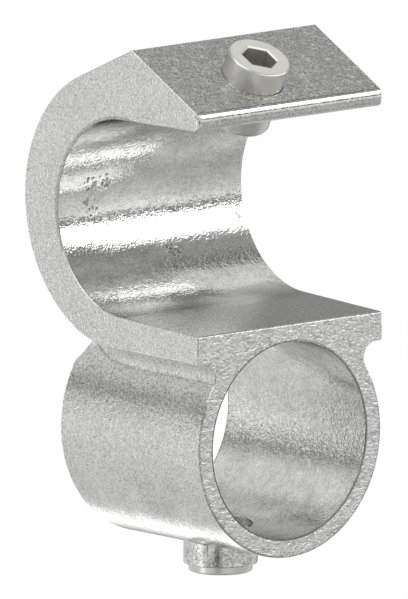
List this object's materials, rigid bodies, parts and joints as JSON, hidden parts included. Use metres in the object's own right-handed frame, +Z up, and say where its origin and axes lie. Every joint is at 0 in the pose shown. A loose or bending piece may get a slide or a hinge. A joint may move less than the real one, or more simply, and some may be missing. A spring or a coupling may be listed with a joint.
{
  "type": "cross tube clamp",
  "caption": "Cast tube clamp that joins two round tubes crossing at a right angle: a closed collar below, an open saddle above, and a hex-socket set screw in each.",
  "frame": {"origin": "centre of the collar's bore, at mid length of the bore", "axes": "+Z up from the collar to the saddle, +Y along the collar's bore towards the closed back of the saddle, +X along the saddle's tube; the saddle opens to -Y"},
  "size_m": [0.06, 0.0679, 0.1365],
  "materials": {
    "galvanised_iron": "hot-dip galvanised, bright grey, slightly rough",
    "plated_steel": "satin grey"
  },
  "bodies": {
    "casting": {"clamp_casting": "galvanised_iron"},
    "saddle_screw": {"saddle_set_screw": "plated_steel"},
    "collar_screw": {"collar_set_screw": "plated_steel"}
  },
  "joints": [
    {"name": "saddle_screw_travel", "type": "slide", "parent": "casting", "child": "saddle_screw", "axis": [0, 0.4555, -0.8902], "range_m": [-0.004, 0.006]},
    {"name": "collar_screw_travel", "type": "slide", "parent": "casting", "child": "collar_screw", "axis": [0, 0, 1], "range_m": [-0.003, 0.003]}
  ]
}
